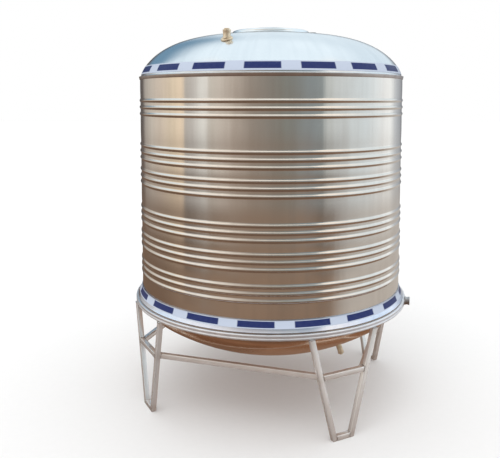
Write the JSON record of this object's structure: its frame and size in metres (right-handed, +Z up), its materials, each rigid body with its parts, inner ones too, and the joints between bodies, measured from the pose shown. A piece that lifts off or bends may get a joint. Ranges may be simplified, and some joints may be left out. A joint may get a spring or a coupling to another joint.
{
  "type": "stainless steel water tank on stand",
  "caption": "Vertical round water tank with a beaded barrel, domed roof with hinged manhole lid and dished bottom, on a stand of V-shaped legs.",
  "frame": {"origin": "on the tank's axis, at the level of the undersides of the feet", "axes": "+Z up along the tank's axis; -Y is the side that faces the viewer; +X is the side of the lid's hasp, and the lid's hinge is on the -X side"},
  "size_m": [1.5027, 1.494, 1.996],
  "materials": {
    "shell_steel": "rolled stainless sheet, semi-bright",
    "roof_steel": "pressed stainless sheet, semi-bright, pale blue sky reflection",
    "collar_steel": "stainless sheet with a thin clear protective film",
    "dish_steel": "pressed stainless sheet in shade, brown ground reflection",
    "tube_steel": "stainless square tube, satin",
    "fittings_steel": "satin stainless fittings",
    "brass": "dull cast brass",
    "film": "plain white film with blue bars"
  },
  "bodies": {
    "tank": {"shell_wall": "shell_steel", "roof_rim": "shell_steel", "roof_dome": "roof_steel", "roof_tape": "film", "manhole_neck": "roof_steel", "lid_hinge_bracket": "fittings_steel", "lid_hinge_pin": "fittings_steel", "hasp_lug": "fittings_steel", "inlet_flange": "brass", "inlet_socket": "brass", "inlet_plug": "brass", "bottom_dish": "dish_steel", "drain_socket": "brass", "drain_plug": "brass", "stand_collar": "collar_steel", "collar_tape": "film", "stand_ring": "collar_steel", "outlet_pipe": "fittings_steel", "outlet_socket": "fittings_steel", "leg_1_left": "tube_steel", "leg_1_right": "tube_steel", "leg_1_foot": "tube_steel", "leg_1_crossbar": "tube_steel", "leg_2_left": "tube_steel", "leg_2_right": "tube_steel", "leg_2_foot": "tube_steel", "leg_2_crossbar": "tube_steel", "leg_3_left": "tube_steel", "leg_3_right": "tube_steel", "leg_3_foot": "tube_steel", "leg_3_crossbar": "tube_steel", "leg_4_left": "tube_steel", "leg_4_right": "tube_steel", "leg_4_foot": "tube_steel", "leg_4_crossbar": "tube_steel", "brace_1": "tube_steel", "brace_2": "tube_steel", "brace_3": "tube_steel", "brace_4": "tube_steel"},
    "lid": {"manhole_lid": "roof_steel", "lid_hinge_knuckle": "fittings_steel", "lid_hasp": "fittings_steel"}
  },
  "joints": [
    {"name": "lid_hinge", "type": "hinge", "parent": "tank", "child": "lid", "pos_m": [-0.229, 0, 1.9704], "axis": [0, -1, 0], "range_deg": [0, 110]}
  ]
}
